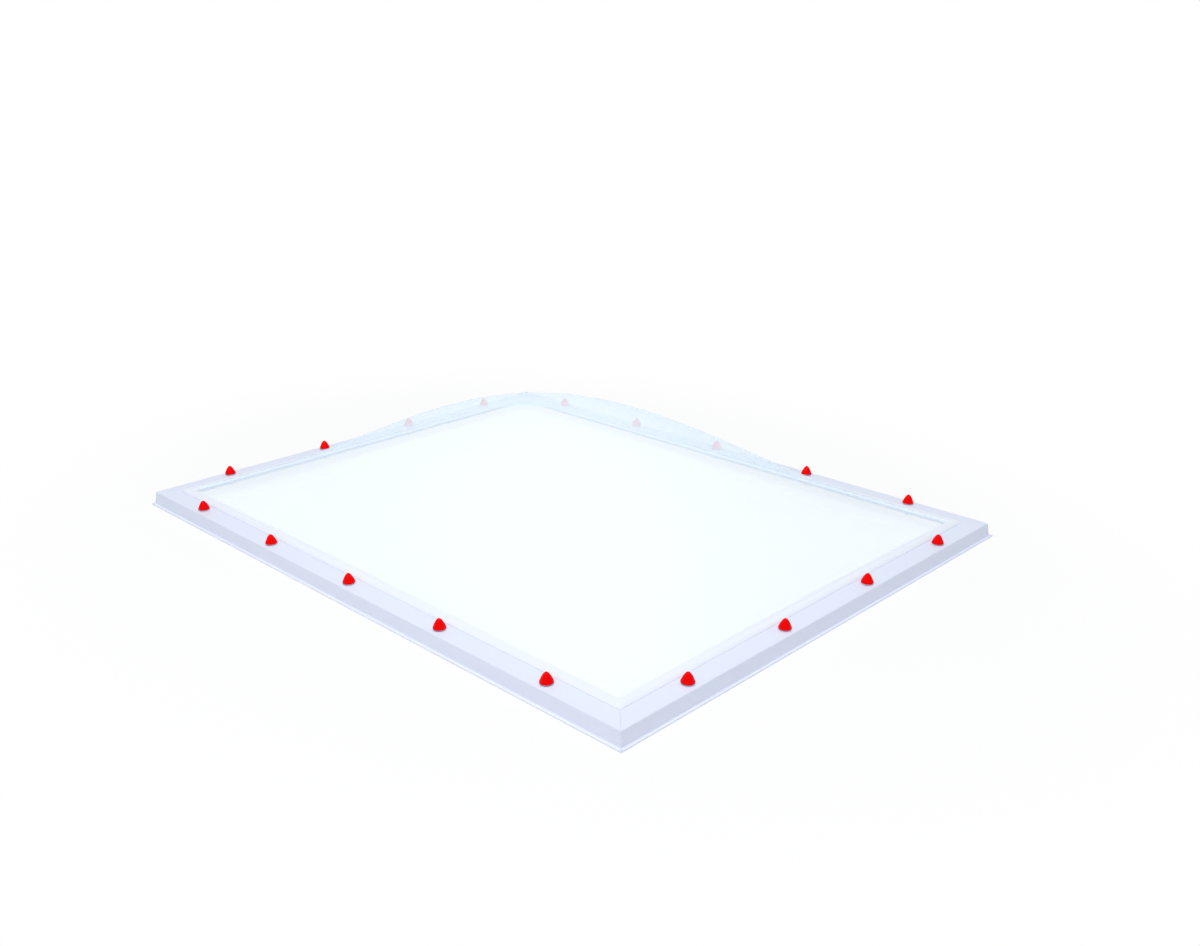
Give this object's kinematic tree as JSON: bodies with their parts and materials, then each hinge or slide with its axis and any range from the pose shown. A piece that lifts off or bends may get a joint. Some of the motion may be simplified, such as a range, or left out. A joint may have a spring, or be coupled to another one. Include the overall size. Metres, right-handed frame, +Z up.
{
  "type": "roof skylight",
  "caption": "Fixed roof skylight: a translucent white dome bonded to a low mitred frame with a drip lip and red screw covers, made to sit over a roof upstand.",
  "frame": {"origin": "middle of the underside of the drip lip, which is the lowest face of the part", "axes": "+X along the long sides, +Y along the short sides, +Z up towards the dome's crown"},
  "size_m": [1.432, 1.132, 0.2569],
  "materials": {
    "dome": "glossy opal sheet, translucent",
    "frame": "satin extruded plastic, pale lavender white",
    "key": "mill finish",
    "tape": "soft pale grey foam tape",
    "foam": "pale grey closed-cell foam",
    "washer": "matt pale grey rubber",
    "steel": "plain stainless",
    "cap": "glossy moulded red plastic"
  },
  "bodies": {
    "root": {"dome": "dome", "frame_rail_front": "frame", "frame_rail_right": "frame", "frame_rail_back": "frame", "frame_rail_left": "frame", "corner_key_1": "key", "corner_key_2": "key", "corner_key_3": "key", "corner_key_4": "key", "glazing_tape_front": "tape", "glazing_tape_right": "tape", "glazing_tape_back": "tape", "glazing_tape_left": "tape", "base_seal_front": "foam", "base_seal_right": "foam", "base_seal_back": "foam", "base_seal_left": "foam", "screws": "steel", "washers": "washer", "cap_bases": "frame", "caps": "cap"}
  },
  "joints": []
}
